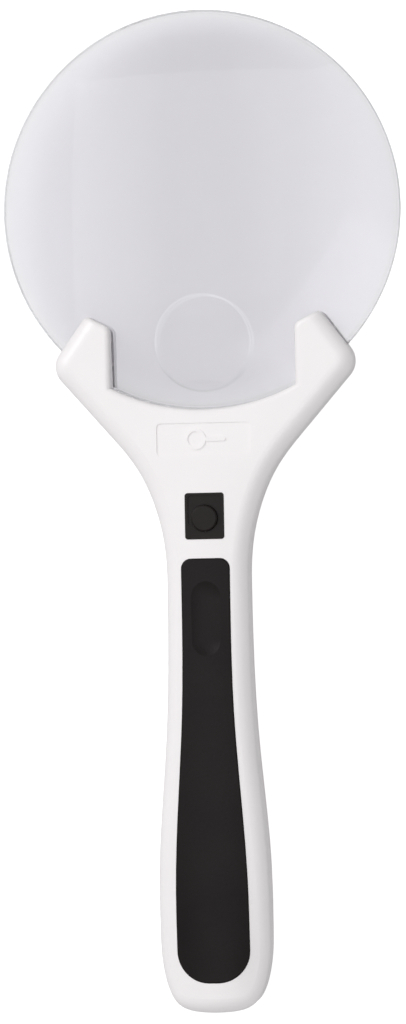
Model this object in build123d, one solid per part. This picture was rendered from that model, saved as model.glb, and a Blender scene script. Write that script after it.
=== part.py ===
from build123d import *
import math
import os

os.makedirs("parts", exist_ok=True)

# A rimless hand magnifier lying on its back. Millimetres, +Z up out of the front face,
# +Y along the handle towards the lens, +X across. The origin is under the middle, on the table.

# Driving dimensions
LENGTH = 275.5
LENS_RADIUS = 55.0
LENS_FACE_RADIUS = 300.0
LENS_RIM_THICKNESS = 2.2
LENS_RIM_CHAMFER = 0.5
SPOT_RADIUS = 13.5
SPOT_OFFSET = 36.7
SPOT_RISE = 0.9
MID_Z = 8.0

PRONG_INNER_X = 25.5
PRONG_SHOULDER_Y = 50.7
PRONG_TIP = (32.5, 54.3)
FORK_CORNER = (42.85, 40.0)
FORK_CORNER_ROUND = 6.0
FORK_FOOT = (29.1, 24.2)
NECK_POINTS = ((18.6, 11.0), (13.2, -2.2))
WAIST = (11.1, -19.8)
SWELL_POINTS = ((12.3, -64.8), (14.5, -91.1))
WIDEST = (15.1, -111.6)
TAIL_POINTS = ((14.1, -127.5), (11.7, -134.0))
PRONG_ROUND = 2.5
SEAT_ROUND = 1.5
FRONT_ROUND = 4.5
BACK_ROUND = 2.5
UNDERSIDE_TRIM = 0.1
SEAM_CHAMFER = 0.2
CAVITY_HEAD_Y = 38.5

WALL = 1.8
TOP_WALL = 3.2
BATTERY_AXIS_X = 5.35
BATTERY_AXIS_Z = 7.7
BATTERY_RADIUS = 5.25
BATTERY_LENGTH = 44.5
BATTERY_TAIL_Y = -129.3
BATTERY_ROOM = 0.25
BATTERY_NUB_LENGTH = 0.9
BATTERY_NUB_RADIUS = 1.9
TUB_WALL = 1.2
TUB_ROOF = 1.0
CONTACT_THICKNESS = 0.4
CONTACT_SPRING_LENGTH = 3.2
CONTACT_HALF_HEIGHT = 4.2
CONTACT_OUTER_X = 9.6
CONTACT_INNER_X = 1.2

DOOR_HALF_WIDTH = 10.7
DOOR_HEAD_Y = -77.5
DOOR_THICKNESS = 2.1
DOOR_TONGUE = 1.0
DOOR_TONGUE_Z = (1.1, 1.8)
DOOR_GROOVES = (-94.0, -92.0, -90.0, -88.0, -86.0)
DOOR_TONGUE_TAIL_Y = -125.0
RUNNING_GAP = 0.08

GRIP_TOP_Y = -13.15
GRIP_END_Y = -129.3
GRIP_TOP_HALF = 6.75
GRIP_WIDE_HALF = 10.05
GRIP_SWELL_POINTS = ((7.3, -57.9), (8.3, -73.6), (9.7, -95.6))
GRIP_END_ROUND = 8.8
GRIP_DEPTH = 1.6
GRIP_PROUD = 0.25
GRIP_CORNER_ROUND = 2.8
GRIP_EDGE_ROUND = 0.5
THUMB_CENTRE_Y = -29.1
THUMB_LENGTH = 20.6
THUMB_WIDTH = 9.4
THUMB_DEPTH = 0.9
THUMB_FACE_Z = 18.65
THUMB_SLOPE = 2.8

BADGE_CENTRE_Y = 19.5
BADGE_SIZE = (25.9, 8.9)
BADGE_CORNER_ROUND = 1.2
BADGE_DEPTH = 0.3
LOUPE_X = -2.2
LOUPE_RADIUS = 2.9
LOUPE_LINE = 0.8
LOUPE_STEM = 5.6

BEZEL_CENTRE_Y = -1.6
BEZEL_SIZE = (10.8, 12.7)
BEZEL_DEPTH = 1.2
BEZEL_CORNER_ROUND = 0.8
BEZEL_PROUD = 0.1
BEZEL_DISH_SIZE = (9.2, 8.2)
BEZEL_DISH_RISE = 1.6
BEZEL_DISH_DEPTH = 0.3
BUTTON_Y = -2.2
BUTTON_RADIUS = 3.6
BUTTON_RISE = 1.5
BUTTON_SLOT = 0.1
FACE_AT_BUTTON = 16.9

BOARD_Z = 5.0
BOARD_THICKNESS = 1.2
BOARD_HALF_WIDTH = 7.6
BOARD_ENDS = (-13.0, 6.6)
BOARD_POSTS = ((6.0, -11.0), (6.0, 5.0))
BOARD_POST_RADIUS = 1.4
RESISTOR_X = 5.9
HOUSING_SIZE = 8.0
HOUSING_TOP = 11.4

SCREW_SPOTS = ((32.3, 47.6), (10.9, 8.4), (7.2, -68.0))
SCREW_RADIUS = 1.1
SCREW_HEAD_RADIUS = 2.0
SCREW_TOP = 11.6
SCREW_HEAD_Z = (1.0, 2.3)
SCREW_CROSS = (2.4, 0.5)
SCREW_CROSS_DEPTH = 0.7
BOSS_RADIUS = 2.6

LED_SPOT = (28.4, 30.6)
LED_RADIUS = 2.4
WIRE_RADIUS = 0.45
WINDOW_RADIUS = 3.4
WINDOW_Z = (0.2, 1.2)

# Derived places
HEAD_END = LENGTH / 2
TAIL_END = -LENGTH / 2
LENS_CENTRE_Y = HEAD_END - LENS_RADIUS
BATTERY_HEAD_Y = BATTERY_TAIL_Y + BATTERY_LENGTH + CONTACT_SPRING_LENGTH
TUB_TAIL_Y = BATTERY_TAIL_Y - CONTACT_THICKNESS
TUB_HEAD_Y = BATTERY_HEAD_Y + CONTACT_THICKNESS
TUB_TOP_Z = BATTERY_AXIS_Z + BATTERY_RADIUS + BATTERY_ROOM
BATTERY_WIRE_Z = TUB_TOP_Z - 1.6
BOARD_TOP = BOARD_Z + BOARD_THICKNESS
BUTTON_TOP_Z = FACE_AT_BUTTON + BUTTON_RISE
BUTTON_FOOT_Z = FACE_AT_BUTTON - TOP_WALL - 1.2
PLUNGER_FLANGE_Z = HOUSING_TOP - 1.4
SPRING_FOOT_Z = BOARD_TOP + 0.7
LED_TIP_Z = 1.5
LED_RIM_Z = 8.2
LED_LEG_TOP = 10.4
LED_LEG_X = 1.27
SPRING_PLAY = 0.05

# Cross-sections of the moulded body from the fork to the tail: place along Y, half width,
# height of the crown, drop of the crown at the sides, half width of the flat underside,
# rise of the underside at the sides.
SECTIONS = (
    (64.0, 50.0, 14.6, 0.5, 46.0, 1.0),
    (22.0, 34.0, 15.4, 1.1, 26.0, 2.4),
    (-14.0, 19.0, 17.6, 4.2, 8.5, 4.4),
    (-60.0, 19.0, 19.6, 5.8, 8.0, 4.8),
    (-104.0, 19.0, 20.0, 6.0, 8.0, 4.8),
    (-146.0, 19.0, 17.6, 6.0, 8.0, 4.8),
)


def at(x, y, z):
    return Location((x, y, z))


def both_sides(spots):
    """Each spot and its mirror image across the middle plane."""
    return [(side * x, y) for x, y in spots for side in (-1, 1)]


def block(x0, x1, y0, y1, z0, z1):
    """A box given by its two corners."""
    size = (x1 - x0, y1 - y0, z1 - z0)
    return at((x0 + x1) / 2, (y0 + y1) / 2, (z0 + z1) / 2) * Box(*size)


def post(x, y, z0, z1, radius):
    """An upright cylinder from z0 to z1."""
    return at(x, y, (z0 + z1) / 2) * Cylinder(radius, z1 - z0)


def closest_vertices(face, spots):
    """The face's corners that lie nearest to the given spots."""
    return [face.vertices().sort_by_distance(Vector(x, y, 0))[0] for x, y in spots]


def handle_curves():
    """The right-hand edge from the fork's foot down to the tail, in three smooth curves."""
    slope = (FORK_FOOT[0] - FORK_CORNER[0], FORK_FOOT[1] - FORK_CORNER[1])
    return [
        Spline(FORK_FOOT, *NECK_POINTS, WAIST, tangents=(slope, (0, -1))),
        Spline(WAIST, *SWELL_POINTS, WIDEST, tangents=((0, -1), (0, -1))),
        Spline(WIDEST, *TAIL_POINTS, (0, TAIL_END), tangents=((0, -1), (-1, 0))),
    ]


def mirrored_face(right):
    """The face between a right-hand chain of edges and its mirror image."""
    left = [mirror(edge, about=Plane.YZ) for edge in right]
    return make_face(right + left)


def body_outline():
    """The fork and handle seen from the front, as one symmetric face."""
    seat_y = LENS_CENTRE_Y - math.sqrt(LENS_RADIUS**2 - PRONG_INNER_X**2)
    half_angle = math.asin(PRONG_INNER_X / LENS_RADIUS) / 2
    seat_middle = (
        LENS_RADIUS * math.sin(half_angle),
        LENS_CENTRE_Y - LENS_RADIUS * math.cos(half_angle),
    )
    shoulder = (PRONG_INNER_X, PRONG_SHOULDER_Y)
    face = mirrored_face([
        ThreePointArc((0, LENS_CENTRE_Y - LENS_RADIUS), seat_middle, (PRONG_INNER_X, seat_y)),
        Line((PRONG_INNER_X, seat_y), shoulder),
        Line(shoulder, PRONG_TIP),
        Line(PRONG_TIP, FORK_CORNER),
        Line(FORK_CORNER, FORK_FOOT),
        *handle_curves(),
    ])
    face = fillet(closest_vertices(face, both_sides([FORK_CORNER])), FORK_CORNER_ROUND)
    return fillet(closest_vertices(face, both_sides([shoulder])), PRONG_ROUND)


def inset_point(curve, part_way, inset):
    """A point beside a right-hand curve, moved in towards the middle of the body."""
    point = curve @ part_way
    heading = curve % part_way
    return (point.X + inset * heading.Y, point.Y - inset * heading.X)


def inset_curve(curve, inset):
    """A right-hand curve moved in towards the middle of the body."""
    steps = 6
    points = [inset_point(curve, step / steps, inset) for step in range(steps + 1)]
    return Spline(*points, tangents=(curve % 0, curve % 1))


def cavity_outline(inset):
    """The hollow of the shells seen from the front, before the lens seat is left standing."""
    fork_edge = Line(FORK_CORNER, FORK_FOOT)
    foot = inset_point(fork_edge, 1, inset)
    corner = inset_point(fork_edge, 0, inset)
    part_way = (CAVITY_HEAD_Y - foot[1]) / (corner[1] - foot[1])
    head_x = foot[0] + part_way * (corner[0] - foot[0])
    return mirrored_face([
        Line((0, CAVITY_HEAD_Y), (head_x, CAVITY_HEAD_Y)),
        Line((head_x, CAVITY_HEAD_Y), foot),
        *[inset_curve(curve, inset) for curve in handle_curves()],
    ])


def cross_section(y, half_width, crown, drop, flat, rise):
    """One closed cross-section of the moulded body."""
    plane = Plane(origin=(0, y, 0), x_dir=(1, 0, 0), z_dir=(0, -1, 0))
    reach = half_width - flat
    bend = (reach**2 + rise**2) / (2 * rise)
    middle = math.asin(reach / bend) / 2
    elbow = (flat + bend * math.sin(middle), bend * (1 - math.cos(middle)) - UNDERSIDE_TRIM)
    side_foot = rise - UNDERSIDE_TRIM
    side_top = crown - drop
    edges = [
        Line((-flat, -UNDERSIDE_TRIM), (flat, -UNDERSIDE_TRIM)),
        ThreePointArc((flat, -UNDERSIDE_TRIM), elbow, (half_width, side_foot)),
        Line((half_width, side_foot), (half_width, side_top)),
        ThreePointArc((half_width, side_top), (0, crown), (-half_width, side_top)),
        Line((-half_width, side_top), (-half_width, side_foot)),
        ThreePointArc((-half_width, side_foot), (-elbow[0], elbow[1]), (-flat, -UNDERSIDE_TRIM)),
    ]
    return plane * make_face(edges)


def moulded_block(lowered=0.0):
    """The lofted block whose top is the front skin, lowered by a given depth."""
    return loft([
        cross_section(y, half, crown - lowered, drop, flat, rise)
        for y, half, crown, drop, flat, rise in SECTIONS
    ])


def above_skin(face, depth):
    """Everything over an area of the front skin, down to a depth below it."""
    return extrude(face, LENGTH / 4) - moulded_block(depth)


OUTLINE = body_outline()


def rim_edges(faces):
    """The edges round the outside of a group of faces."""
    edges = [edge for face in faces for edge in face.edges()]
    middles = [edge.center() for edge in edges]
    return [
        edge for edge, middle in zip(edges, middles)
        if sum((middle - other).length < 0.01 for other in middles) == 1
    ]


def upright_body():
    """The outline raised well past the front and back skins."""
    return at(0, 0, -LENGTH / 20) * extrude(OUTLINE, LENGTH / 5)


def outer_body():
    """The whole moulded body: full flanks, and finer prong tips and front edge at the seat."""
    body = upright_body() & moulded_block()
    for towards, outer_round in ((1, FRONT_ROUND), (-1, BACK_ROUND)):
        rim = skin_rim(body, towards)
        flanks = [edge for edge in rim if on_flank(edge.center())]
        body = fillet(flanks, outer_round)
    seat = [edge for edge in skin_rim(body, 1) if on_lens_side(edge.center())]
    tips = [edge for edge in body.edges().filter_by(Axis.Z) if at_prong_tip(edge)]
    return fillet(seat + tips, SEAT_ROUND)


def skin_rim(body, towards):
    """The rim of the front skin (towards = 1) or of the back skin (towards = -1)."""
    return rim_edges(body.faces().filter_by(lambda face: face.normal_at().Z * towards > 0.8))


def on_flank(place):
    """True outside the fork, along the neck and round the handle."""
    return abs(place.X) > PRONG_TIP[0] or place.Y < FORK_FOOT[1]


def on_lens_side(place):
    """True round the lens seat and along the prongs' inner edges and ends."""
    return abs(place.X) < PRONG_TIP[0] - 0.3 and place.Y > FORK_FOOT[1]


def at_prong_tip(edge):
    """True for the upright edge at the far corner of a prong."""
    place = edge.center()
    return edge.length > WALL and place.Y > PRONG_TIP[1] - 0.3


def half_body(z0, z1):
    """The solid front or back half, with a fine chamfer along the seam."""
    half = outer_body() & block(-LENGTH, LENGTH, -LENGTH, LENGTH, z0, z1)
    seam = half.edges().filter_by_position(Axis.Z, MID_Z - 0.01, MID_Z + 0.01)
    return chamfer(seam, SEAM_CHAMFER)


def shell_cavity(clearance=0.0):
    """The hollow inside the two shells, below the lens seat."""
    inside = extrude(cavity_outline(WALL + clearance), LENGTH / 10)
    room = at(0, 0, WALL) * inside & moulded_block(TOP_WALL + clearance)
    lens_room = post(0, LENS_CENTRE_Y, 0, LENGTH / 10, LENS_RADIUS + 1.6)
    return room - lens_room


def screw_holes(radius, z0, z1):
    """Upright cylinders at every shell screw."""
    return Part() + [post(x, y, z0, z1, radius) for x, y in both_sides(SCREW_SPOTS)]


def lens():
    """One moulding: a wide biconvex lens with a stronger spot lens and two bolt holes."""
    half_rim = LENS_RIM_THICKNESS / 2
    sag = LENS_FACE_RADIUS - math.sqrt(LENS_FACE_RADIUS**2 - LENS_RADIUS**2)
    apex = half_rim + sag
    profile = make_face([
        Line((0, -apex), (0, apex)),
        RadiusArc((0, apex), (LENS_RADIUS, half_rim), LENS_FACE_RADIUS),
        Line((LENS_RADIUS, half_rim), (LENS_RADIUS, -half_rim)),
        RadiusArc((LENS_RADIUS, -half_rim), (0, -apex), LENS_FACE_RADIUS),
    ])
    disc = revolve(Plane.XZ * profile, Axis.Z)
    disc = chamfer(disc.edges().filter_by(GeomType.CIRCLE), LENS_RIM_CHAMFER)
    tilt = math.degrees(math.asin(SPOT_OFFSET / LENS_FACE_RADIUS))
    spot_face_radius = (SPOT_RADIUS**2 + SPOT_RISE**2) / (2 * SPOT_RISE)
    surface_drop = LENS_FACE_RADIUS - math.sqrt(LENS_FACE_RADIUS**2 - SPOT_OFFSET**2)
    spot_base = Location((0, -SPOT_OFFSET, apex - surface_drop), (tilt, 0, 0))
    ball = Location((0, 0, SPOT_RISE - spot_face_radius)) * Sphere(spot_face_radius)
    spot = spot_base * (ball & Cylinder(SPOT_RADIUS, 2 * SPOT_RISE))
    whole = at(0, LENS_CENTRE_Y, MID_Z) * (disc + spot)
    holes = [post(x, y, 0, 2 * MID_Z, BOSS_RADIUS) for x, y in both_sides(SCREW_SPOTS[:1])]
    return whole - holes


def badge_recess():
    """A shallow blank panel on the head with a raised outline of a loupe in it."""
    panel = Pos(0, BADGE_CENTRE_Y) * RectangleRounded(*BADGE_SIZE, BADGE_CORNER_ROUND)
    loupe = Circle(LOUPE_RADIUS) - Circle(LOUPE_RADIUS - LOUPE_LINE)
    ring = Pos(LOUPE_X, BADGE_CENTRE_Y) * loupe
    stem_x = LOUPE_X + LOUPE_RADIUS + LOUPE_STEM / 2 - LOUPE_LINE / 4
    stem = Pos(stem_x, BADGE_CENTRE_Y) * SlotOverall(LOUPE_STEM, 1.6 * LOUPE_LINE)
    return above_skin(panel - ring - stem, BADGE_DEPTH)


def grip_outline():
    """The rubber panel seen from the front: it follows the handle and rounds off at both ends."""
    right = [
        Line((0, GRIP_TOP_Y), (GRIP_TOP_HALF, GRIP_TOP_Y)),
        Spline((GRIP_TOP_HALF, GRIP_TOP_Y), *GRIP_SWELL_POINTS, (GRIP_WIDE_HALF, WIDEST[1]),
               tangents=((0, -1), (0, -1))),
        Line((GRIP_WIDE_HALF, WIDEST[1]), (GRIP_WIDE_HALF, GRIP_END_Y)),
        Line((GRIP_WIDE_HALF, GRIP_END_Y), (0, GRIP_END_Y)),
    ]
    face = mirrored_face(right)
    top_corners = closest_vertices(face, both_sides([(GRIP_TOP_HALF, GRIP_TOP_Y)]))
    face = fillet(top_corners, GRIP_CORNER_ROUND)
    end_corners = closest_vertices(face, both_sides([(GRIP_WIDE_HALF, GRIP_END_Y)]))
    return fillet(end_corners, GRIP_END_ROUND)


def thumb_dish():
    """The soft hollow for the thumb: the lower side of a long round-ended roller."""
    half_width = THUMB_WIDTH / 2
    radius = (half_width**2 + THUMB_DEPTH**2) / (2 * THUMB_DEPTH)
    half_length = (THUMB_LENGTH - THUMB_WIDTH) / 2
    roller = Rot(90, 0, 0) * Cylinder(radius, 2 * half_length)
    ends = [Pos(0, y, 0) * Sphere(radius) for y in (-half_length, half_length)]
    place = (0, THUMB_CENTRE_Y, THUMB_FACE_Z - THUMB_DEPTH + radius)
    return Location(place, (-THUMB_SLOPE, 0, 0)) * (roller + ends)


def grip_inlay():
    """The rubber panel, a little proud of the shell, with a dished rest for the thumb."""
    panel = extrude(grip_outline(), LENGTH / 10) & moulded_block(-GRIP_PROUD)
    panel = panel - moulded_block(GRIP_DEPTH)
    panel = fillet(skin_rim(panel, 1), GRIP_EDGE_ROUND)
    return panel - thumb_dish()


def bezel_outline():
    return Pos(0, BEZEL_CENTRE_Y) * RectangleRounded(*BEZEL_SIZE, BEZEL_CORNER_ROUND)


def switch_bezel():
    """The black plate round the button, dished on its upper half."""
    plate = extrude(bezel_outline(), LENGTH / 10) & moulded_block(-BEZEL_PROUD)
    plate = plate - moulded_block(BEZEL_DEPTH)
    dish = RectangleRounded(*BEZEL_DISH_SIZE, BEZEL_CORNER_ROUND)
    dish = Pos(0, BEZEL_CENTRE_Y + BEZEL_DISH_RISE) * dish
    plate = plate - above_skin(dish, BEZEL_DISH_DEPTH)
    return plate - post(0, BUTTON_Y, 0, LENGTH / 10, BUTTON_RADIUS + BUTTON_SLOT)


def front_shell():
    """The front half of the casing, with its bosses, recesses and switch hole."""
    shell = half_body(MID_Z, LENGTH / 10) - shell_cavity()
    bosses = screw_holes(BOSS_RADIUS, MID_Z, LENGTH / 10) & moulded_block(WALL)
    shell = shell + (bosses & upright_body())
    shell = shell - lens() - screw_holes(SCREW_RADIUS, 0, SCREW_TOP + 0.4)
    shell = shell - badge_recess()
    shell = shell - above_skin(grip_outline(), GRIP_DEPTH)
    shell = shell - above_skin(bezel_outline(), BEZEL_DEPTH)
    return shell - post(0, BUTTON_Y, 0, LENGTH / 10, BUTTON_RADIUS + BUTTON_SLOT)


def battery_tub():
    """The walled compartment that holds the two cells, open at the back."""
    half = DOOR_HALF_WIDTH + 0.05
    wide = half + TUB_WALL
    tail, head = TUB_TAIL_Y - TUB_WALL, TUB_HEAD_Y + TUB_WALL
    outside = block(-wide, wide, tail, head, WALL, TUB_TOP_Z + TUB_ROOF)
    inside = block(-half, half, TUB_TAIL_Y, TUB_HEAD_Y, 0, TUB_TOP_Z)
    wire_holes = [
        Location((side * BATTERY_AXIS_X, TUB_HEAD_Y + TUB_WALL / 2, BATTERY_WIRE_Z), (90, 0, 0))
        * Cylinder(WIRE_RADIUS, 2 * TUB_WALL)
        for side in (-1, 1)
    ]
    return outside & shell_cavity(0.1), inside, wire_holes


def door_space(gap):
    """The door's panel and its side tongues, grown by the running gap."""
    half = DOOR_HALF_WIDTH + gap
    panel = block(-half, half, 2 * TAIL_END, DOOR_HEAD_Y + gap, -1, DOOR_THICKNESS + gap)
    wide = half + DOOR_TONGUE
    tongue_z = (DOOR_TONGUE_Z[0] - gap, DOOR_TONGUE_Z[1] + gap)
    tongue_tail = DOOR_TONGUE_TAIL_Y if gap == 0 else 2 * TAIL_END
    tongues = block(-wide, wide, tongue_tail, DOOR_HEAD_Y - 1.5 + gap, *tongue_z)
    return panel + tongues


def rear_shell():
    """The back half of the casing, with the cell compartment and the door's slide."""
    shell = half_body(0, MID_Z) - shell_cavity()
    shell = shell + (screw_holes(BOSS_RADIUS, WALL / 2, MID_Z) & upright_body())
    walls, inside, wire_holes = battery_tub()
    shell = shell + walls - inside - wire_holes
    shell = shell - lens() - door_space(RUNNING_GAP)
    shell = shell - screw_holes(SCREW_RADIUS, 0, MID_Z)
    shell = shell - screw_holes(SCREW_HEAD_RADIUS + 0.2, -WALL, SCREW_HEAD_Z[1])
    for x, y in both_sides(BOARD_POSTS):
        shell = shell + post(x, y, WALL / 2, BOARD_Z, BOARD_POST_RADIUS)
    for x, y in both_sides([LED_SPOT]):
        shell = shell - post(x, y, -WALL, WINDOW_Z[1], WINDOW_RADIUS)
        shell = shell - post(x, y, 0, 2 * WALL, LED_RADIUS + RUNNING_GAP)
    return shell


def battery_door():
    """The sliding cover over the cells, with grooves to push it by."""
    door = half_body(0, MID_Z) & door_space(0)
    return door - [block(-6, 6, y - 0.5, y + 0.5, -1, 0.5) for y in DOOR_GROOVES]


def button_cap():
    """The round button, with a wide foot that keeps it inside the shell."""
    cap = post(0, BUTTON_Y, BUTTON_FOOT_Z, BUTTON_TOP_Z, BUTTON_RADIUS)
    cap = fillet(cap.edges().sort_by(Axis.Z)[-1], 0.5)
    return cap + post(0, BUTTON_Y, BUTTON_FOOT_Z, BUTTON_FOOT_Z + 0.6, BUTTON_RADIUS + 0.6)


def switch_plunger():
    """The switch's own stem and the flange that its spring pushes on."""
    stem = post(0, BUTTON_Y, PLUNGER_FLANGE_Z, BUTTON_FOOT_Z, 1.5)
    return stem + post(0, BUTTON_Y, PLUNGER_FLANGE_Z, PLUNGER_FLANGE_Z + 0.6, 2.3)


def switch_housing():
    """The square can of the push switch, hollow for its plunger and spring."""
    half = HOUSING_SIZE / 2
    can = block(-half, half, BUTTON_Y - half, BUTTON_Y + half, BOARD_TOP, HOUSING_TOP)
    can = chamfer(can.edges().filter_by(Axis.Z), 0.6)
    can = can - post(0, BUTTON_Y, SPRING_FOOT_Z, HOUSING_TOP - 0.7, 2.5)
    return can - post(0, BUTTON_Y, SPRING_FOOT_Z, HOUSING_TOP + 1, 1.56)


def coil_spring(length, radius, wire, turns):
    """A helical spring standing on Z = 0 with its axis along Z."""
    path = Helix(pitch=(length - wire) / turns, height=length - wire, radius=radius)
    section = Plane(path @ 0, z_dir=path % 0) * Circle(wire / 2)
    return at(0, 0, wire / 2) * sweep(section, path=path)


def switch_spring():
    length = PLUNGER_FLANGE_Z - SPRING_PLAY - SPRING_FOOT_Z
    spring = coil_spring(length, 2.0, 0.3, 3.5)
    return at(0, BUTTON_Y, SPRING_FOOT_Z) * spring


def circuit_board():
    """The small board under the button, on four posts."""
    board = block(-BOARD_HALF_WIDTH, BOARD_HALF_WIDTH, *BOARD_ENDS, BOARD_Z, BOARD_TOP)
    return fillet(board.edges().filter_by(Axis.Z), 0.8)


def resistor(side):
    """A surface resistor on the board, one for each lamp."""
    x = side * RESISTOR_X
    return block(x - 0.8, x + 0.8, -9.0, -5.8, BOARD_TOP, BOARD_TOP + 0.6)


def led(side):
    """A round white lamp that shines out of the back, with its rim and two legs."""
    x, y = side * LED_SPOT[0], LED_SPOT[1]
    dome_z = LED_TIP_Z + LED_RADIUS
    lamp = post(x, y, dome_z, LED_RIM_Z, LED_RADIUS) + at(x, y, dome_z) * Sphere(LED_RADIUS)
    lamp = lamp + post(x, y, LED_RIM_Z, LED_RIM_Z + 0.8, LED_RADIUS + 0.3)
    legs = [
        block(x + leg - 0.25, x + leg + 0.25, y - 0.25, y + 0.25, LED_RIM_Z, LED_LEG_TOP)
        for leg in (-LED_LEG_X, LED_LEG_X)
    ]
    return lamp + legs


def led_window(side):
    """The thin clear disc that covers a lamp at the back."""
    return post(side * LED_SPOT[0], LED_SPOT[1], *WINDOW_Z, WINDOW_RADIUS)


def wire(points, bend):
    """An insulated wire along a route of points with rounded corners."""
    path = FilletPolyline(*points, radius=bend)
    return sweep(Plane(path @ 0, z_dir=path % 0) * Circle(WIRE_RADIUS), path=path)


def led_wire(side, lane):
    """A wire from one leg of a lamp to the board; the two lanes run side by side."""
    leg_x = side * LED_SPOT[0] + side * lane * LED_LEG_X
    route = [
        (leg_x, LED_SPOT[1] - 0.25 - WIRE_RADIUS, LED_LEG_TOP - WIRE_RADIUS),
        (side * (21.5 + lane * 1.2), 24.0 - lane * 1.2, LED_LEG_TOP - WIRE_RADIUS),
        (side * (6.4 + lane * 0.7), 12.6 - lane * 0.9, 9.4),
        (side * (4.4 + lane * 0.7), 5.2, BOARD_TOP + WIRE_RADIUS),
    ]
    return wire(route, 3.0)


def battery_wire(side):
    """A wire from one head contact, through the tub's wall, to the board."""
    x = side * BATTERY_AXIS_X
    route = [
        (x, TUB_HEAD_Y, BATTERY_WIRE_Z),
        (x, TUB_HEAD_Y + 8.0, BATTERY_WIRE_Z),
        (side * 2.4, -66.0, BATTERY_WIRE_Z - 2.5),
        (side * 2.0, -40.0, 7.4),
        (side * 3.0, -20.0, 8.0),
        (side * 3.0, -11.6, BOARD_TOP + WIRE_RADIUS),
    ]
    return wire(route, 4.0)


def battery_cell(side):
    """A small round cell with its nub; the two cells lie head to tail."""
    can_length = BATTERY_LENGTH - BATTERY_NUB_LENGTH
    can = fillet(Cylinder(BATTERY_RADIUS, can_length).edges(), 0.5)
    nub = post(0, 0, 0, BATTERY_LENGTH, BATTERY_NUB_RADIUS)
    cell = at(0, 0, can_length / 2) * can + nub
    if side < 0:
        foot = (-BATTERY_AXIS_X, BATTERY_HEAD_Y - BATTERY_LENGTH, BATTERY_AXIS_Z)
        return Location(foot, (-90, 0, 0)) * cell
    foot = (BATTERY_AXIS_X, BATTERY_TAIL_Y + BATTERY_LENGTH, BATTERY_AXIS_Z)
    return Location(foot, (90, 0, 0)) * cell


def contact_spring(side):
    """The spring against the flat end of a cell."""
    spring = coil_spring(CONTACT_SPRING_LENGTH, 3.0, 0.5, 3)
    if side < 0:
        return Location((-BATTERY_AXIS_X, BATTERY_TAIL_Y, BATTERY_AXIS_Z), (-90, 0, 0)) * spring
    return Location((BATTERY_AXIS_X, BATTERY_HEAD_Y, BATTERY_AXIS_Z), (90, 0, 0)) * spring


def contact_plate(x0, x1, y0):
    """A thin sprung-steel plate that stands across the compartment."""
    z0, z1 = BATTERY_AXIS_Z - CONTACT_HALF_HEIGHT, BATTERY_AXIS_Z + CONTACT_HALF_HEIGHT
    return block(x0, x1, y0, y0 + CONTACT_THICKNESS, z0, z1)


def shell_screws():
    """The six screws that close the shells, with cross recesses in their heads."""
    screws = []
    for x, y in both_sides(SCREW_SPOTS):
        shank = post(x, y, SCREW_HEAD_Z[0], SCREW_TOP, SCREW_RADIUS)
        head = post(x, y, *SCREW_HEAD_Z, SCREW_HEAD_RADIUS)
        cross = Box(*SCREW_CROSS, 2 * SCREW_CROSS_DEPTH)
        cross = cross + Rot(0, 0, 90) * cross
        screw = shank + head - at(x, y, SCREW_HEAD_Z[0]) * cross
        screws.append(screw)
    return Compound(children=screws)


def write(name, shape):
    export_step(shape, f"parts/{name}.step")


write("lens", lens())
write("front_shell", front_shell())
write("rear_shell", rear_shell())
write("grip_inlay", grip_inlay())
write("switch_bezel", switch_bezel())
write("button_cap", button_cap())
write("switch_plunger", switch_plunger())
write("switch_housing", switch_housing())
write("switch_spring", switch_spring())
write("circuit_board", circuit_board())
write("battery_door", battery_door())
write("shell_screws", shell_screws())
write("tail_contact_plate", contact_plate(-CONTACT_OUTER_X, CONTACT_OUTER_X, TUB_TAIL_Y))
write("negative_contact", contact_plate(CONTACT_INNER_X, CONTACT_OUTER_X, BATTERY_HEAD_Y))
write("positive_contact", contact_plate(-CONTACT_OUTER_X, -CONTACT_INNER_X, BATTERY_HEAD_Y))
for side_name, side in (("left", -1), ("right", 1)):
    write(f"led_{side_name}", led(side))
    write(f"led_window_{side_name}", led_window(side))
    write(f"resistor_{side_name}", resistor(side))
    write(f"battery_cell_{side_name}", battery_cell(side))
    write(f"contact_spring_{side_name}", contact_spring(side))
    write(f"battery_wire_{side_name}", battery_wire(side))
    write(f"led_wire_{side_name}_outer", led_wire(side, 1))
    write(f"led_wire_{side_name}_inner", led_wire(side, -1))
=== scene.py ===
import math

import bpy
from mathutils import Matrix, Quaternion, Vector


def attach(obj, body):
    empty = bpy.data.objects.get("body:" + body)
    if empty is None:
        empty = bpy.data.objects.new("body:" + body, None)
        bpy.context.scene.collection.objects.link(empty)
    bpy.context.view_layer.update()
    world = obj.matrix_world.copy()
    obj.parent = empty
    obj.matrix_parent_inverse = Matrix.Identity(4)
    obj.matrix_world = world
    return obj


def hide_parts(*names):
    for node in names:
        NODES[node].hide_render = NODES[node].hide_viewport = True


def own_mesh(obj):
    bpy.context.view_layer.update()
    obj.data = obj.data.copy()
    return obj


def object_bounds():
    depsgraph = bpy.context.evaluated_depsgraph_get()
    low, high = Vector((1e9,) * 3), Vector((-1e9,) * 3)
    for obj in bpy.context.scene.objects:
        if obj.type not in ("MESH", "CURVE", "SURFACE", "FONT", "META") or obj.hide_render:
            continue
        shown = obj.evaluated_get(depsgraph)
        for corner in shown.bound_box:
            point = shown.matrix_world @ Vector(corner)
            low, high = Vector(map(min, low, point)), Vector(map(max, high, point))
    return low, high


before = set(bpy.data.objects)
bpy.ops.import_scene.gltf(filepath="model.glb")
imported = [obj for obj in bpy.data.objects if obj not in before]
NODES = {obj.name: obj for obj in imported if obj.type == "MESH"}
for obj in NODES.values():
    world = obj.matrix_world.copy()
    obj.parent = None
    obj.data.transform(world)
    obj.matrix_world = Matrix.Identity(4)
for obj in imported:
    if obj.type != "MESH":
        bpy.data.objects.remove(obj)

# Metres throughout, in the frame of the CAD: +Y runs to the lens, +Z out of the front face.

CAD_LOW, CAD_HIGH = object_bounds()

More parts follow.
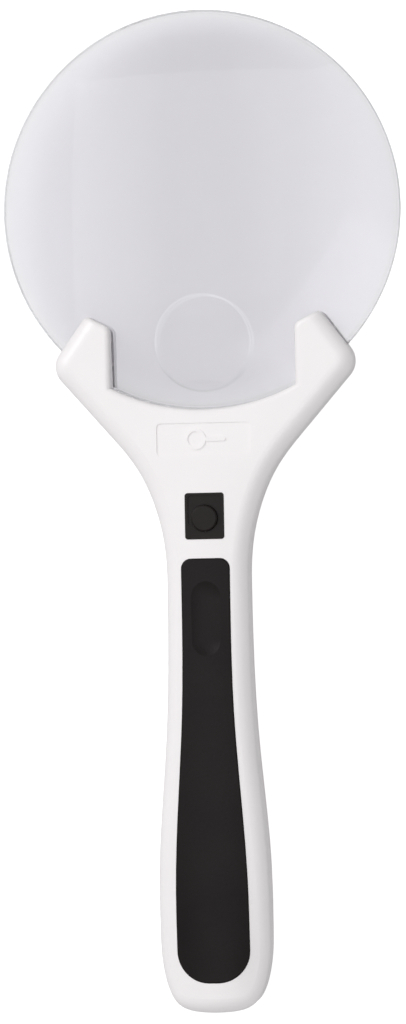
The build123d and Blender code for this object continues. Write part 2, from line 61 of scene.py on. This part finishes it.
# Camera: almost straight above, a little to the right, with a slight roll
CAMERA_DISTANCE = 1.3
CAMERA_LENS = 167.0
CAMERA_SENSOR = 36.0
CAMERA_LEAN = math.radians(7.0)
CAMERA_ROLL = math.radians(-1.29)
CAMERA_TARGET = Vector((-0.00045, -0.0005, 0.016))

# Lights: a key from the upper left, a wide one overhead, and the even surround (W, m)
KEY_PLACE = (-0.95, 0.75, 1.0)
KEY_SIZE = 0.9
KEY_POWER = 8.5
TOP_PLACE = (0.0, 0.0, 1.9)
TOP_SIZE = 1.6
TOP_POWER = 8.6
SURROUND_STRENGTH = 0.52

# Lens: a painted reflection, grey that pales sideways: how far from the middle plane it begins to
# pale, and where it is palest
LENS_REFLECTION_PALE_FROM_TO = (0.015, 0.055)
LENS_REFLECTION_BAND_SWAY = 0.012
LENS_MIDDLE_REFLECTION_TINT = (0.47, 0.46, 0.495)
LENS_SIDE_REFLECTION_TINT = (0.60, 0.59, 0.63)
LENS_CENTRE = (0.0, 0.08275, 0.0)
# Painted shade round the lens: a darker band towards its rim and a darker line near its outer
# boundary
LENS_RIM_SHADE_FROM_TO = (0.0475, 0.054)
LENS_RIM_SHADE_TINT = (0.56, 0.555, 0.58)
LENS_LINE_RADIUS = 0.0539
LENS_LINE_WIDTH = 0.0004
LENS_LINE_SHADE_TINT = (0.5, 0.5, 0.51)
# Spot lens: a painted highlight above its step and painted shade below it
SPOT_CENTRE = (0.0, 0.04605, 0.0)
SPOT_RADIUS = 0.0132
SPOT_EDGE_WIDTH = 0.0005
SPOT_HIGHLIGHT_TINT = (0.66, 0.66, 0.69)
SPOT_SHADE_TINT = (0.36, 0.36, 0.38)

# Cells: they lie head to tail, each with a band at its nub end
CELL_HEAD_Y = -0.0816
CELL_TAIL_Y = -0.1293
CELL_BAND = 0.004

# Floor: a mid tone that throws little light back, and a glow that makes it look white
FLOOR_REACH = 6.0
FLOOR_GAP = 0.0001
FLOOR_TONE = (0.70, 0.70, 0.70)
FLOOR_GLOW = 0.7


def place_camera():
    """A long lens over the magnifier, with the handle towards the bottom of the picture."""
    camera = bpy.data.objects.new("camera", bpy.data.cameras.new("camera"))
    bpy.context.collection.objects.link(camera)
    camera.data.lens = CAMERA_LENS
    camera.data.sensor_width = CAMERA_SENSOR
    back = Vector((math.sin(CAMERA_LEAN), 0.0, math.cos(CAMERA_LEAN)))
    camera.location = CAMERA_TARGET + back * CAMERA_DISTANCE
    across = Vector((0, 1, 0)).cross(back)
    turn = Matrix((across, back.cross(across), back)).transposed().to_quaternion()
    camera.rotation_mode = "QUATERNION"
    camera.rotation_quaternion = turn @ Quaternion((0, 0, 1), CAMERA_ROLL)
    bpy.context.scene.camera = camera


def area_light(name, place, size, power):
    """A square soft box at a place, turned towards the magnifier."""
    light = bpy.data.objects.new(name, bpy.data.lights.new(name, "AREA"))
    bpy.context.collection.objects.link(light)
    light.data.size = size
    light.data.energy = power
    light.location = place
    light.rotation_mode = "QUATERNION"
    light.rotation_quaternion = Vector(place).to_track_quat("Z", "Y")


def light_studio():
    """A broad key from the upper left, a wide top light, and a pale surround."""
    area_light("key", KEY_PLACE, KEY_SIZE, KEY_POWER)
    area_light("top", TOP_PLACE, TOP_SIZE, TOP_POWER)
    world = bpy.data.worlds.new("surround")
    bpy.context.scene.world = world
    world.use_nodes = True
    background = world.node_tree.nodes["Background"]
    background.inputs["Color"].default_value = (1.0, 1.0, 1.0, 1.0)
    background.inputs["Strength"].default_value = SURROUND_STRENGTH


def new_material(name):
    """A fresh node material; returns the material, its nodes, its links and its shader."""
    material = bpy.data.materials.new(name)
    material.use_nodes = True
    tree = material.node_tree
    shader = tree.nodes["Principled BSDF"]
    return material, tree.nodes, tree.links, shader


def place_coordinates(nodes, links, scale=(1.0, 1.0, 1.0)):
    """The object's own coordinates in metres, scaled along each axis."""
    source = nodes.new("ShaderNodeTexCoord")
    mapping = nodes.new("ShaderNodeMapping")
    mapping.inputs["Scale"].default_value = scale
    links.new(source.outputs["Object"], mapping.inputs["Vector"])
    return mapping.outputs["Vector"]


def noise(nodes, links, vector, size, detail=3.0, roughness=0.5):
    """Noise whose blobs are about one size across, in metres."""
    texture = nodes.new("ShaderNodeTexNoise")
    texture.inputs["Scale"].default_value = 1.0 / size
    texture.inputs["Detail"].default_value = detail
    texture.inputs["Roughness"].default_value = roughness
    links.new(vector, texture.inputs["Vector"])
    return texture.outputs["Fac"]


def spread(nodes, links, value, low, high, from_low=0.3, from_high=0.7):
    """A texture value stretched to run from low to high."""
    ramp = nodes.new("ShaderNodeMapRange")
    ramp.inputs["From Min"].default_value = from_low
    ramp.inputs["From Max"].default_value = from_high
    ramp.inputs["To Min"].default_value = low
    ramp.inputs["To Max"].default_value = high
    links.new(value, ramp.inputs["Value"])
    return ramp.outputs["Result"]


def colour_between(nodes, links, value, dark, light):
    """A colour that goes from dark to light as a value goes from 0 to 1."""
    mix = nodes.new("ShaderNodeMix")
    mix.data_type = "RGBA"
    mix.inputs["A"].default_value = (*dark, 1.0)
    mix.inputs["B"].default_value = (*light, 1.0)
    links.new(value, mix.inputs["Factor"])
    return mix.outputs["Result"]


def bump(nodes, links, shader, height, depth):
    """Relief of a height value, in metres, on a shader."""
    node = nodes.new("ShaderNodeBump")
    node.inputs["Strength"].default_value = 1.0
    node.inputs["Distance"].default_value = depth
    links.new(height, node.inputs["Height"])
    links.new(node.outputs["Normal"], shader.inputs["Normal"])


def white_plastic():
    """Satin white moulded plastic: faint flow clouds, fine sparkle texture, uneven gloss."""
    material, nodes, links, shader = new_material("white_plastic")
    vector = place_coordinates(nodes, links)
    clouds = noise(nodes, links, vector, 0.03)
    grain = noise(nodes, links, vector, 0.0006, 2.0)
    tone = colour_between(nodes, links, spread(nodes, links, clouds, 0, 1),
                          (0.925, 0.893, 0.902), (0.95, 0.92, 0.928))
    links.new(tone, shader.inputs["Base Color"])
    links.new(spread(nodes, links, grain, 0.30, 0.38), shader.inputs["Roughness"])
    shader.inputs["Subsurface Weight"].default_value = 0.08
    shader.inputs["Subsurface Radius"].default_value = (0.002, 0.002, 0.002)
    shader.inputs["Coat Weight"].default_value = 0.15
    bump(nodes, links, shader, grain, 0.00001)
    return material


def rubber():
    """Soft black rubber: matt fine pebble grain, slightly paler where it is handled."""
    material, nodes, links, shader = new_material("rubber_grip")
    vector = place_coordinates(nodes, links)
    wear = noise(nodes, links, vector, 0.02)
    grain = noise(nodes, links, vector, 0.00045, 4.0, 0.6)
    tone = colour_between(nodes, links, spread(nodes, links, wear, 0, 1),
                          (0.0058, 0.0038, 0.0040), (0.0092, 0.0064, 0.0066))
    links.new(tone, shader.inputs["Base Color"])
    links.new(spread(nodes, links, grain, 0.40, 0.52), shader.inputs["Roughness"])
    shader.inputs["Specular IOR Level"].default_value = 0.18
    bump(nodes, links, shader, grain, 0.00004)
    return material


def black_plastic():
    """Satin black switch plastic with a very fine spark-eroded texture."""
    material, nodes, links, shader = new_material("black_plastic")
    vector = place_coordinates(nodes, links)
    grain = noise(nodes, links, vector, 0.00025, 3.0)
    patches = noise(nodes, links, vector, 0.004)
    tone = colour_between(nodes, links, spread(nodes, links, patches, 0, 1),
                          (0.0052, 0.0026, 0.0022), (0.0085, 0.0050, 0.0042))
    links.new(tone, shader.inputs["Base Color"])
    links.new(spread(nodes, links, grain, 0.34, 0.46), shader.inputs["Roughness"])
    shader.inputs["Specular IOR Level"].default_value = 0.22
    bump(nodes, links, shader, grain, 0.000012)
    return material


def clear_material(name, tint, alpha, roughness):
    """Polished clear plastic with the faintest haze of handling marks."""
    material, nodes, links, shader = new_material(name)
    vector = place_coordinates(nodes, links)
    haze = noise(nodes, links, vector, 0.012)
    tone = colour_between(nodes, links, spread(nodes, links, haze, 0, 1),
                          tuple(c * 0.985 for c in tint), tint)
    links.new(tone, shader.inputs["Base Color"])
    links.new(spread(nodes, links, haze, roughness, roughness * 1.8), shader.inputs["Roughness"])
    shader.inputs["Transmission Weight"].default_value = 1.0
    shader.inputs["IOR"].default_value = 1.49
    shader.inputs["Alpha"].default_value = alpha
    return material


def distance_from(nodes, links, axes, centre):
    """How far a point is from an upright line through a centre, in metres."""
    flat = nodes.new("ShaderNodeCombineXYZ")
    links.new(axes.outputs["X"], flat.inputs["X"])
    links.new(axes.outputs["Y"], flat.inputs["Y"])
    distance = nodes.new("ShaderNodeVectorMath")
    distance.operation = "DISTANCE"
    distance.inputs[1].default_value = centre
    links.new(flat.outputs["Vector"], distance.inputs[0])
    return distance.outputs["Value"]


def ring(nodes, links, distance, radius, half_width, strength):
    """A soft line round a centre: strength on the line itself, nothing beyond its width."""
    off_line = nodes.new("ShaderNodeMath")
    off_line.operation = "SUBTRACT"
    off_line.inputs[1].default_value = radius
    links.new(distance, off_line.inputs[0])
    size = nodes.new("ShaderNodeMath")
    size.operation = "ABSOLUTE"
    links.new(off_line.outputs["Value"], size.inputs[0])
    return spread(nodes, links, size.outputs["Value"], strength, 0, 0, half_width)


def laid_over(nodes, links, below, above, amount):
    """One colour laid over another by an amount from 0 to 1."""
    mix = nodes.new("ShaderNodeMix")
    mix.data_type = "RGBA"
    links.new(amount, mix.inputs["Factor"])
    links.new(below, mix.inputs["A"])
    links.new(above, mix.inputs["B"])
    return mix.outputs["Result"]


def paint_lens_highlight_and_shade(nodes, links, axes, painted_glass_tone):
    """The spot lens's fine step with a painted highlight above and painted shade below it, and
    painted shade round the lens's rim: a darker band and a darker line.
    """
    # Painted highlight on the upper side of the spot lens's step and painted shade on its lower side
    from_spot = distance_from(nodes, links, axes, SPOT_CENTRE)
    height = spread(nodes, links, axes.outputs["Y"], 0, 1,
                    SPOT_CENTRE[1] - 0.7 * SPOT_RADIUS, SPOT_CENTRE[1])
    step = colour_between(nodes, links, height, SPOT_SHADE_TINT, SPOT_HIGHLIGHT_TINT)
    line = ring(nodes, links, from_spot, SPOT_RADIUS, SPOT_EDGE_WIDTH, 0.8)
    painted_glass_tone = laid_over(nodes, links, painted_glass_tone, step, line)
    # Painted shade: a darker band towards the lens's rim, with a darker line near its outer boundary
    from_middle = distance_from(nodes, links, axes, LENS_CENTRE)
    rim = spread(nodes, links, from_middle, 0, 0.8, *LENS_RIM_SHADE_FROM_TO)
    line = ring(nodes, links, from_middle, LENS_LINE_RADIUS, LENS_LINE_WIDTH, 1.0)
    painted_edge_tone = colour_between(nodes, links, line, LENS_RIM_SHADE_TINT, LENS_LINE_SHADE_TINT)
    return laid_over(nodes, links, painted_glass_tone, painted_edge_tone, rim)


def lens_acrylic():
    """Clear acrylic with a painted reflection: a grey cast that pales to the left and right in soft
    upright bands.
    """
    material, nodes, links, shader = new_material("clear_acrylic")
    vector = place_coordinates(nodes, links)
    axes = nodes.new("ShaderNodeSeparateXYZ")
    links.new(vector, axes.inputs["Vector"])
    # Painted reflection: the grey cast pales with distance sideways from the middle plane, in
    # wavering upright bands
    sideways = nodes.new("ShaderNodeMath")
    sideways.operation = "ABSOLUTE"
    links.new(axes.outputs["X"], sideways.inputs[0])
    bands = noise(nodes, links, place_coordinates(nodes, links, (1.0, 0.12, 1.0)), 0.02, 2.0)
    waver = nodes.new("ShaderNodeMath")
    waver.operation = "MULTIPLY_ADD"
    waver.inputs[1].default_value = LENS_REFLECTION_BAND_SWAY
    links.new(bands, waver.inputs[0])
    links.new(sideways.outputs["Value"], waver.inputs[2])
    painted_edge_tone = spread(nodes, links, waver.outputs["Value"], 0, 1, *LENS_REFLECTION_PALE_FROM_TO)
    painted_glass_tone = colour_between(nodes, links, painted_edge_tone, LENS_MIDDLE_REFLECTION_TINT, LENS_SIDE_REFLECTION_TINT)
    links.new(paint_lens_highlight_and_shade(nodes, links, axes, painted_glass_tone), shader.inputs["Base Color"])
    haze = noise(nodes, links, vector, 0.012)
    links.new(spread(nodes, links, haze, 0.01, 0.02), shader.inputs["Roughness"])
    shader.inputs["Transmission Weight"].default_value = 1.0
    shader.inputs["IOR"].default_value = 1.49
    shader.inputs["Specular IOR Level"].default_value = 0.15
    shader.inputs["Alpha"].default_value = 0.7
    return material


def metal(name, colour, roughness, streak_size):
    """Bright plated metal with fine drawn streaks."""
    material, nodes, links, shader = new_material(name)
    vector = place_coordinates(nodes, links, (1.0, 1.0, 0.15))
    streaks = noise(nodes, links, vector, streak_size, 4.0)
    tone = colour_between(nodes, links, spread(nodes, links, streaks, 0, 1),
                          tuple(c * 0.82 for c in colour), colour)
    links.new(tone, shader.inputs["Base Color"])
    links.new(spread(nodes, links, streaks, roughness, roughness + 0.14), shader.inputs["Roughness"])
    shader.inputs["Metallic"].default_value = 1.0
    bump(nodes, links, shader, streaks, 0.000008)
    return material


def plain_plastic(name, dark, light, roughness, grain_size=0.0005):
    """A coloured plastic with a little grain and tone."""
    material, nodes, links, shader = new_material(name)
    vector = place_coordinates(nodes, links)
    grain = noise(nodes, links, vector, grain_size, 3.0)
    links.new(colour_between(nodes, links, spread(nodes, links, grain, 0, 1), dark, light),
              shader.inputs["Base Color"])
    links.new(spread(nodes, links, grain, roughness, roughness + 0.12), shader.inputs["Roughness"])
    bump(nodes, links, shader, grain, 0.00001)
    return material


def lamp_epoxy():
    """Pale epoxy over a yellow phosphor that shows through the dome in soft clouds."""
    material, nodes, links, shader = new_material("lamp_epoxy")
    clouds = noise(nodes, links, place_coordinates(nodes, links), 0.0025)
    links.new(colour_between(nodes, links, spread(nodes, links, clouds, 0, 1),
                             (0.85, 0.74, 0.28), (0.95, 0.9, 0.62)), shader.inputs["Base Color"])
    links.new(spread(nodes, links, clouds, 0.06, 0.14), shader.inputs["Roughness"])
    shader.inputs["Transmission Weight"].default_value = 0.35
    return material


def cell_wrap(nub_end_y, towards):
    """The plain wrap of a cell: grey film with a bare steel band at its nub end."""
    material, nodes, links, shader = new_material("cell_wrap")
    vector = place_coordinates(nodes, links)
    axes = nodes.new("ShaderNodeSeparateXYZ")
    links.new(vector, axes.inputs["Vector"])
    grain = noise(nodes, links, vector, 0.0006, 3.0)
    film = colour_between(nodes, links, spread(nodes, links, grain, 0, 1),
                          (0.30, 0.32, 0.33), (0.36, 0.38, 0.39))
    steel = colour_between(nodes, links, grain, (0.6, 0.6, 0.62), (0.74, 0.74, 0.76))
    start = nub_end_y - towards * CELL_BAND
    band = spread(nodes, links, axes.outputs["Y"], 0, 1, start, start + towards * 0.0002)
    links.new(laid_over(nodes, links, film, steel, band), shader.inputs["Base Color"])
    links.new(band, shader.inputs["Metallic"])
    links.new(spread(nodes, links, grain, 0.24, 0.34), shader.inputs["Roughness"])
    bump(nodes, links, shader, grain, 0.00001)
    return material


def paint(material, *names):
    """Gives CAD nodes one material all over."""
    for name in names:
        node = NODES[name]
        node.data.materials.clear()
        node.data.materials.append(material)


def dress_cad_nodes():
    """Every CAD node gets the material of what it is made of, and the switch spring a copy attached
    to the casing.
    """
    paint(white_plastic(), "front_shell", "rear_shell", "battery_door")
    paint(rubber(), "grip_inlay")
    paint(black_plastic(), "switch_bezel", "button_cap", "switch_plunger")
    paint(lens_acrylic(), "lens")
    paint(clear_material("clear_plastic", (0.97, 0.97, 0.97), 0.35, 0.06),
          "led_window_left", "led_window_right")
    paint(lamp_epoxy(), "led_left", "led_right")
    steel = metal("steel", (0.72, 0.72, 0.74), 0.24, 0.0006)
    paint(steel, "shell_screws", "switch_spring", "contact_spring_left", "contact_spring_right",
          "tail_contact_plate", "negative_contact", "positive_contact")
    wind_switch_spring(steel)
    paint(metal("switch_metal", (0.6, 0.6, 0.62), 0.32, 0.0004), "switch_housing")
    paint(plain_plastic("board", (0.02, 0.14, 0.06), (0.03, 0.18, 0.08), 0.35), "circuit_board")
    paint(plain_plastic("ceramic_black", (0.02, 0.02, 0.02), (0.035, 0.035, 0.035), 0.5),
          "resistor_left", "resistor_right")
    paint(cell_wrap(CELL_HEAD_Y, 1), "battery_cell_left")
    paint(cell_wrap(CELL_TAIL_Y, -1), "battery_cell_right")
    paint(plain_plastic("wire_red", (0.45, 0.02, 0.02), (0.55, 0.03, 0.03), 0.4),
          "led_wire_left_outer", "led_wire_right_outer", "battery_wire_left")
    paint(plain_plastic("wire_black", (0.015, 0.015, 0.015), (0.025, 0.025, 0.025), 0.4),
          "led_wire_left_inner", "led_wire_right_inner", "battery_wire_right")


def wind_switch_spring(steel):
    """A steel copy of the switch spring, attached to the casing, with the original hidden."""
    node = NODES["switch_spring"]
    coil = node.copy()
    coil.data = node.data.copy()
    coil.name = "switch_spring_coil"
    bpy.context.collection.objects.link(coil)
    coil.data.materials.clear()
    coil.data.materials.append(steel)
    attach(coil, "casing")
    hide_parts("switch_spring")
    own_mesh(coil)


def lay_floor():
    """A plain pale table; its own glow is seen but does not light the magnifier."""
    mesh = bpy.data.meshes.new("floor")
    corners = [(x * FLOOR_REACH, y * FLOOR_REACH, 0) for x, y in ((-1, -1), (1, -1), (1, 1), (-1, 1))]
    mesh.from_pydata(corners, [], [(0, 1, 2, 3)])
    floor = bpy.data.objects.new("floor", mesh)
    bpy.context.collection.objects.link(floor)
    floor.location.z = CAD_LOW.z - FLOOR_GAP
    material, nodes, links, shader = new_material("pale_floor")
    shader.inputs["Base Color"].default_value = (*FLOOR_TONE, 1.0)
    shader.inputs["Roughness"].default_value = 0.9
    shader.inputs["Specular IOR Level"].default_value = 0.1
    shader.inputs["Emission Color"].default_value = (1.0, 1.0, 1.0, 1.0)
    path = nodes.new("ShaderNodeLightPath")
    seen = nodes.new("ShaderNodeMath")
    seen.operation = "MAXIMUM"
    links.new(path.outputs["Is Camera Ray"], seen.inputs[0])
    links.new(path.outputs["Is Transmission Ray"], seen.inputs[1])
    glow = nodes.new("ShaderNodeMath")
    glow.operation = "MULTIPLY"
    glow.inputs[1].default_value = FLOOR_GLOW
    links.new(seen.outputs["Value"], glow.inputs[0])
    links.new(glow.outputs["Value"], shader.inputs["Emission Strength"])
    mesh.materials.append(material)


place_camera()
light_studio()
lay_floor()
dress_cad_nodes()
bpy.context.scene.view_settings.view_transform = "Standard"
